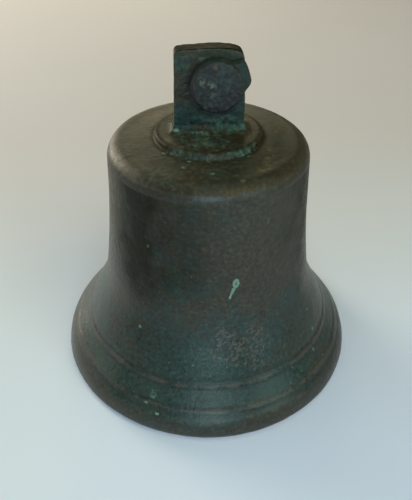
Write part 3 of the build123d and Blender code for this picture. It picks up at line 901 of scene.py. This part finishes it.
head_prof = [(0, -8.15), (3.0, -8.20), (6.0, -8.18), (8.2, -8.05), (8.75, -7.80), (8.98, -7.30), (9.02, -5.5), (8.95, -3.9), (8.7, -3.52), (0, -3.5)]
head = moved(revolve_y(head_prof, 128), BOLT_X, 0, BOLT_Z)
BURR = [(4.2, 7.8), (8.9, 8.6), (10.0, 7.0), (10.9, 5.0), (11.6, 2.6), (12.05, 1.1), (11.7, -0.4), (10.6, -1.9), (9.6, -3.6), (7.5, -4.8), (3.0, 0.0)]
burr = p_prism_y([(BOLT_X + a, BOLT_Z + b) for a, b in BURR], -3.55, -6.2, grow1=-0.10, centre=(BOLT_X, BOLT_Z))
shank = p_cyl((BOLT_X, -4.2, BOLT_Z), (BOLT_X, 3.6, BOLT_Z), 4.74, n=96)
thread = moved(threaded_rod(3.2, 23.0, 4.72, 0.62, 1.5875), BOLT_X, 0, BOLT_Z)
bolt = remeshed([head, burr, shank, thread], 0.22, relax=2)
P = coords(bolt); Nn = normals(bolt)
x, y, z = P.T
ad = np.hypot(x - BOLT_X, z - BOLT_Z)
is_head = y < -3.4
bo = 0.10 * fbm(P, 1 / 6.0, 3, 0.5, 51) + 0.05 * fbm(P, 1 / 1.6, 3, 0.6, 53)
bo = np.where(is_head, bo, 0.25 * bo * (y > 13.4))
bo *= np.where((y > -3.9) & (y < 13.3), 0.0, 1.0)
push(bolt, bo)
face = is_head & (Nn[:, 1] < -0.6) & (ad < 9.2) & (y < -7.0)
lx, lz = x - BOLT_X, z - BOLT_Z
fineb = fbm(P, 1 / 1.7, 3, 0.6, 57)
rust = np.where(face, 0.05, 0.92)
pale = 0.62 * bell_curve(lx, -4.6, 2.2) * bell_curve(lz, 1.9, 1.5) + 0.75 * bell_curve(lx, -1.6, 1.5) * bell_curve(lz, 0.6, 1.6)
pale += 0.55 * bell_curve(lx, -2.2, 1.2) * bell_curve(lz, -2.4, 1.6) + 0.35 * bell_curve(lx, -6.6, 1.6) * bell_curve(lz, 3.4, 2.0)
pale = np.where(face, pale * (0.8 + 0.7 * fineb), 0.0)
pale = np.where(~face & is_head, 0.18 * smooth(fineb, 0.35, 0.8), pale)
green = face * (0.55 * bell_curve(lx, 2.6, 2.6) * bell_curve(lz, 4.4, 3.0) + 0.45 * smooth(fineb, 0.2, 0.6) + 0.35 * bell_curve(lx, -0.2, 1.0) * bell_curve(lz, -1.0, 5.0))
orange = face * smooth(np.hypot(lx + 1.0, lz - 7.1), 1.05, 0.4) * 0.9
head_dirt_and_shade = face * 0.85 * bell_curve(lz - 0.06 * lx, 0.2, 0.40) * smooth(lx, -8.2, -7.2) * smooth(lx, -1.6, -3.0)
# painted shade on the side of the head next to the lug
head_dirt_and_shade = np.maximum(head_dirt_and_shade, 0.75 * is_head * smooth(y, -4.8, -3.6))
head_dirt_and_shade = np.maximum(head_dirt_and_shade, face * 0.75 * smooth(np.hypot(lx + 2.6, (lz - 6.2) * 1.3), 2.6, 1.0))
# painted shade round the rim of the face, strongest at the lower left
head_dirt_and_shade = np.maximum(head_dirt_and_shade, face * 0.40 * smooth(ad, 8.2, 9.0))
low = (-0.42 * lx - 0.91 * lz) / np.maximum(ad, 0.1)
head_dirt_and_shade = np.maximum(head_dirt_and_shade, is_head * (ad < 9.6) * 0.95 * smooth(ad, 7.9, 8.7) * smooth(low, -0.1, 0.7))
for nm, val in (("rust", rust), ("pale", pale), ("green", green), ("orange", orange), ("dirt_and_shade", head_dirt_and_shade)):
    attribute(bolt, nm, val)
finish_piece("bolt_worn", bolt, "pivot", ["pivot_bolt"], BOLT)


def rusty_masks(me, base=0.85):
    n = len(me.vertices)
    P = coords(me)
    attribute(me, "rust", base + 0.2 * fbm(P, 1 / 4.0, 2, 0.5, 77))
    for nm in ("pale", "green", "orange", "dirt_and_shade"):
        attribute(me, nm, np.zeros(n))


wprof = [(5.0, 3.3), (9.2, 3.3), (9.45, 3.6), (9.45, 4.6), (9.2, 4.9), (5.0, 4.9)]


def ring_y(prof, n=128):
    """A closed (r, y) section turned about the Y axis."""
    m = len(prof)
    verts = [(r * math.cos(2 * math.pi * k / n), yy, r * math.sin(2 * math.pi * k / n)) for r, yy in prof for k in range(n)]
    faces = []
    for i in range(m):
        i2 = (i + 1) % m
        for k in range(n):
            k2 = (k + 1) % n
            faces.append((i * n + k, i * n + k2, i2 * n + k2, i2 * n + k))
    bm = bmesh.new()
    t = mesh_from("t", verts, faces)
    bm.from_mesh(t)
    return bm_to_mesh(bm, "ring")


washer = remeshed([moved(ring_y(wprof), BOLT_X, 0, BOLT_Z)], 0.25, relax=1)
P = coords(washer)
push(washer, 0.03 * fbm(P, 1 / 2.0, 2, 0.5, 61) * (np.hypot(P[:, 0] - BOLT_X, P[:, 2] - BOLT_Z) > 5.6))
rusty_masks(washer)
finish_piece("washer_plain", washer, "pivot", ["pivot_washer"], BOLT)

nut = remeshed([p_hex((BOLT_X, 4.92, BOLT_Z), 15.2, 8.25, axis="y")], 0.22,
               cuts=[p_cyl((BOLT_X, 3, BOLT_Z), (BOLT_X, 15, BOLT_Z), 4.80, n=96)], relax=2)
P = coords(nut)
adn = np.hypot(P[:, 0] - BOLT_X, P[:, 2] - BOLT_Z)
push(nut, (0.06 * fbm(P, 1 / 3.0, 3, 0.55, 63) - 0.05) * (adn > 5.4))
rusty_masks(nut)
finish_piece("nut_hexagon", nut, "pivot", ["pivot_nut"], BOLT)

# ---------------------------------------------------------------------------
# clapper and its hanging
# ---------------------------------------------------------------------------
def iron(name, me, body, node, rough=0.05, bright=None, hold=None, seed=0):
    P = coords(me)
    d = rough * fbm(P, 1 / 3.5, 3, 0.55, 101 + seed)
    if hold is not None:
        d = d * hold(P)
    push(me, d)
    attribute(me, "bright", np.zeros(len(P)) if bright is None else bright(P))
    return finish_piece(name, me, body, [node], RUST)


FORK_TOP, BRIDGE = 87.2, 83.6
parts = [p_cyl((0, 0, FORK_TOP - 1), (0, 0, 99.4), 3.98, n=72), p_box((-5.5, -5.5, BRIDGE), (5.5, 5.5, FORK_TOP))]
for s in (-1, 1):
    y0, y1 = sorted((s * 2.5, s * 5.5))
    parts.append(p_box((-5.5, y0, PIVOT_Z), (5.5, y1, BRIDGE + 0.5)))
    parts.append(p_cyl((0, y0, PIVOT_Z), (0, y1, PIVOT_Z), 5.5, n=72))
staple = remeshed(parts, 0.26, cuts=[p_cyl((0, -8, PIVOT_Z), (0, 8, PIVOT_Z), 2.55, n=48)], relax=3)
iron("staple_fork", staple, "bell", "crown_staple", 0.05, hold=lambda P: (P[:, 2] < 87).astype(float))

snut = remeshed([p_hex((0, 0, FORK_TOP + 4.38), 13.0, 4.36, axis="z")], 0.26,
                cuts=[p_cyl((0, 0, 85), (0, 0, 93), 4.05, n=72)], relax=2)
iron("staple_lock_nut", snut, "bell", "staple_nut", 0.04, hold=lambda P: (np.hypot(P[:, 0], P[:, 1]) > 4.6).astype(float), seed=1)

pinp = [(0, -7.3), (3.2, -7.25), (4.0, -6.95), (4.2, -6.4), (4.2, -5.62), (4.05, -5.52), (2.5, -5.5), (2.5, 9.6), (2.1, 10.15), (0, 10.2)]
pin = remeshed([moved(revolve_y(pinp, 96), 0, 0, PIVOT_Z)], 0.2,
               cuts=[p_cyl((0, 7.9, 70), (0, 7.9, 85), 0.88, n=32)], relax=1)
iron("clevis_pin", pin, "bell", "clapper_pin", 0.03, hold=lambda P: ((P[:, 1] < -5.7) | (P[:, 1] > 6.7)).astype(float), seed=2)

pw = remeshed([moved(ring_y([(2.65, 5.52), (4.45, 5.52), (4.58, 5.7), (4.58, 6.3), (4.45, 6.5), (2.65, 6.5)], 96), 0, 0, PIVOT_Z)], 0.16, relax=1)
iron("clevis_washer", pw, "bell", "pin_washer", 0.02, seed=3)


def tube(points, rad, n=16):
    """A closed round bar along smooth points."""
    P = np.asarray(points, float)
    T = np.gradient(P, axis=0)
    T /= np.linalg.norm(T, axis=1, keepdims=True)
    up = np.array([1.0, 0, 0])
    verts, faces = [], []
    for p, tdir in zip(P, T):
        a = up - tdir * (up @ tdir)
        a /= np.linalg.norm(a)
        b = np.cross(tdir, a)
        up = a
        for k in range(n):
            th = 2 * math.pi * k / n
            verts.append(tuple(p + rad * (a * math.cos(th) + b * math.sin(th))))
    m = len(P)
    for i in range(m - 1):
        for k in range(n):
            k2 = (k + 1) % n
            faces.append((i * n + k, i * n + k2, (i + 1) * n + k2, (i + 1) * n + k))
    faces.append(tuple(range(n - 1, -1, -1)))
    faces.append(tuple((m - 1) * n + k for k in range(n)))
    bm = bmesh.new()
    t = mesh_from("t", verts, faces)
    bm.from_mesh(t)
    return bm_to_mesh(bm, "tube")


# split pin: an eye above the clevis pin, two legs through it, bent apart below
SY = 7.9
eye_pts = [(0, SY + 0.32, PIVOT_Z + z0) for z0 in (-2.6, 0, 2.4, 3.2)]
loop = [(0, SY + 1.45 * math.sin(a), PIVOT_Z + 4.75 - 1.45 * math.cos(a)) for a in np.radians(np.linspace(24, 336, 26))]
legA = [(0, SY + 0.28, PIVOT_Z + 3.2)]
pathp = [(0, SY + 0.34, PIVOT_Z - 4.0), (0, SY + 0.34, PIVOT_Z - 2), (0, SY + 0.34, PIVOT_Z + 1), (0, SY + 0.36, PIVOT_Z + 2.9)] + loop + \
        [(0, SY - 0.36, PIVOT_Z + 2.9), (0, SY - 0.34, PIVOT_Z + 1), (0, SY - 0.34, PIVOT_Z - 2), (0, SY - 0.34, PIVOT_Z - 4.0)]
pre = [(0, SY + 2.3, PIVOT_Z - 5.0), (0, SY + 1.3, PIVOT_Z - 4.85), (0, SY + 0.6, PIVOT_Z - 4.55)]
post = [(0, SY - 0.45, PIVOT_Z - 4.5), (0, SY - 0.8, PIVOT_Z - 4.8)]
split = remeshed([tube(pre + pathp + post, 0.42, 20)], 0.12, relax=1)
iron("cotter", split, "bell", "split_pin", 0.0, seed=4)

rodp = [p_cyl((0, -2, PIVOT_Z), (0, 2, PIVOT_Z), 5.35, n=96), p_box((-3.45, -2, 68.4), (3.45, 2, PIVOT_Z))]
rodp += [p_sphere((0, 0, 67.5), 3.55, 4), p_cyl((0, 0, 36), (0, 0, 68), 2.95, n=72), p_cyl((0, 0, 9.6), (0, 0, 37), 2.85, n=72)]
rodm = remeshed(rodp, 0.28, cuts=[p_cyl((0, -6, PIVOT_Z), (0, 6, PIVOT_Z), 2.56, n=64)], relax=3)
iron("clapper_shank", rodm, "clapper", "clapper_rod", 0.05,
     hold=lambda P: ((P[:, 2] < 70) & (P[:, 2] > 34)).astype(float), seed=5)

ballm = remeshed([p_sphere((0, 0, BALL_Z), BALL_R - 0.05, 6)], 0.42,
                 cuts=[p_box((-20, -20, 29.3), (20, 20, 40)), p_cyl((0, 0, 9.2), (0, 0, 40), 3.0, n=72)], relax=2)
iron("clapper_bob", ballm, "clapper", "clapper_ball", 0.07,
     bright=lambda P: smooth(np.abs(P[:, 0]), 10.2, 12.4) * bell_curve(P[:, 1], 0, 5.0) * bell_curve(P[:, 2], 20.5, 6.0),
     hold=lambda P: smooth(np.hypot(P[:, 0], P[:, 1]), 3.2, 5.0), seed=6)

bn = remeshed([p_hex((0, 0, 33.88), 10.0, 4.56, axis="z", turn=math.radians(30))], 0.22,
              cuts=[p_cyl((0, 0, 25), (0, 0, 40), 3.0, n=64)], relax=2)
iron("bob_lock_nut", bn, "clapper", "ball_nut", 0.03, hold=lambda P: (np.hypot(P[:, 0], P[:, 1]) > 3.6).astype(float), seed=7)

# ---------------------------------------------------------------------------
# stage, light and camera
# ---------------------------------------------------------------------------
fm = Nodes("stage_floor")
fn = fm.noise(3.0, 3, 0.5)
# painted light: the floor is cooler and brighter on the near side, warmer and darker on the far side
cool = fm.ramp(fn, [(0.3, (0.73, 0.83, 0.97)), (0.7, (0.76, 0.86, 0.99))])
warm = fm.ramp(fn, [(0.3, (0.638, 0.625, 0.668)), (0.7, (0.668, 0.655, 0.698))])
sep = fm.t.nodes.new("ShaderNodeSeparateXYZ")
fm.link(fm.obj(), sep.inputs["Vector"])
fm.link(fm.mix(fm.between(sep.outputs["Y"], -0.06, 0.22), cool, warm), fm.bsdf.inputs["Base Color"])
fm.bsdf.inputs["Roughness"].default_value = 0.75
# painted light: the near side glows a little cold blue by emission, standing in for daylight from the open window
fm.bsdf.inputs["Emission Color"].default_value = (0.42, 0.50, 1.0, 1)
painted_window_glow = fm.math("MULTIPLY", fm.between(sep.outputs["Y"], 0.08, -0.10, 0.0, 0.15), fm.between(sep.outputs["X"], -0.12, 0.03, 0.30, 1.0))
fm.link(painted_window_glow, fm.bsdf.inputs["Emission Strength"])
floor_me = mesh_from("floor", [(-4, -4, 0), (4, -4, 0), (4, 4, 0), (-4, 4, 0)], [(0, 1, 2, 3)])
floor_me.materials.append(fm.m)
floor = new_object("stage_floor", floor_me)

scene = bpy.context.scene
world = bpy.data.worlds.new("studio")
scene.world = world
world.use_nodes = True
bg = world.node_tree.nodes["Background"]
bg.inputs["Color"].default_value = (0.80, 0.84, 0.88, 1)
bg.inputs["Strength"].default_value = 0.02


def area(name, loc, target, size, power, color, size_y=None):
    L = bpy.data.lights.new(name, "AREA")
    L.energy = power
    L.color = color
    L.size = size
    if size_y:
        L.shape = "RECTANGLE"
        L.size_y = size_y
    ob = bpy.data.objects.new(name, L)
    scene.collection.objects.link(ob)
    ob.location = loc
    dv = Vector(target) - Vector(loc)
    ob.rotation_euler = dv.to_track_quat("-Z", "Y").to_euler()
    return ob


def ring_light(name, turn, height, rgb, size=0.75, reach=1.5):
    """A soft light on a dome round the bell; turn is 0 at the viewer's side and positive to the right."""
    a, e = math.radians(turn), math.radians(height)
    loc = (reach * math.cos(e) * math.sin(a), -reach * math.cos(e) * math.cos(a), reach * math.sin(e) + 0.05)
    top_c = max(rgb)
    return area(name, loc, (0, 0, 0.05), size, 10 * GAIN * top_c, tuple(c / top_c for c in rgb))


GAIN = 1.15
ring_light("front_low", 0, 18, (0.46, 0.68, 0.72))
ring_light("front_right", 45, 18, (0.275, 0.415, 0.40))
ring_light("right", 90, 18, (0.150, 0.132, 0.092))
ring_light("back_right", 135, 18, (0.060, 0.035, 0.020))
ring_light("front_left", -45, 18, (0.125, 0.148, 0.135))
ring_light("left", -90, 18, (0.24, 0.25, 0.215))
ring_light("window_left", -135, 18, (1.38, 1.24, 0.97))
ring_light("back", 180, 18, (0.34, 0.30, 0.20))
ring_light("front_high", 0, 50, (0.12, 0.10, 0.09))
ring_light("warm_high", 45, 50, (0.37, 0.28, 0.12))
area("ceiling", (0.001, 0.001, 1.55), (0, 0, 0.05), 0.75, 10 * GAIN * 0.24, (0.75, 1.0, 0.95))

# camera: fitted to the outline of the bell, 550 px focal length on a 412 px wide frame
SCALE = 63.5 * MM
D, H, PITCH, YAW, ROLL, TURN = 2.9154, 3.0283, 0.6730, -0.00322, 0.00849, math.radians(4.0)
pos = Vector((-D * math.sin(TURN) * SCALE, -D * math.cos(TURN) * SCALE, H * SCALE))
yw = YAW + TURN
fw = Vector((math.sin(yw) * math.cos(PITCH), math.cos(yw) * math.cos(PITCH), -math.sin(PITCH)))
rt = fw.cross(Vector((0, 0, 1))).normalized()
up = rt.cross(fw)
c, s = math.cos(ROLL), math.sin(ROLL)
r2 = rt * c + up * s
u2 = up * c - rt * s
cam = bpy.data.cameras.new("camera")
cam.sensor_fit = "HORIZONTAL"
cam.sensor_width = 36.0
cam.lens = 550.0 / 412.0 * 36.0
cam.clip_start = 0.01
cam.dof.use_dof = False
cam_ob = bpy.data.objects.new("camera", cam)
scene.collection.objects.link(cam_ob)
m = Matrix((
    (r2.x, u2.x, -fw.x, pos.x),
    (r2.y, u2.y, -fw.y, pos.y),
    (r2.z, u2.z, -fw.z, pos.z),
    (0, 0, 0, 1)))
cam_ob.matrix_world = m
scene.camera = cam_ob
scene.view_settings.view_transform = "Standard"
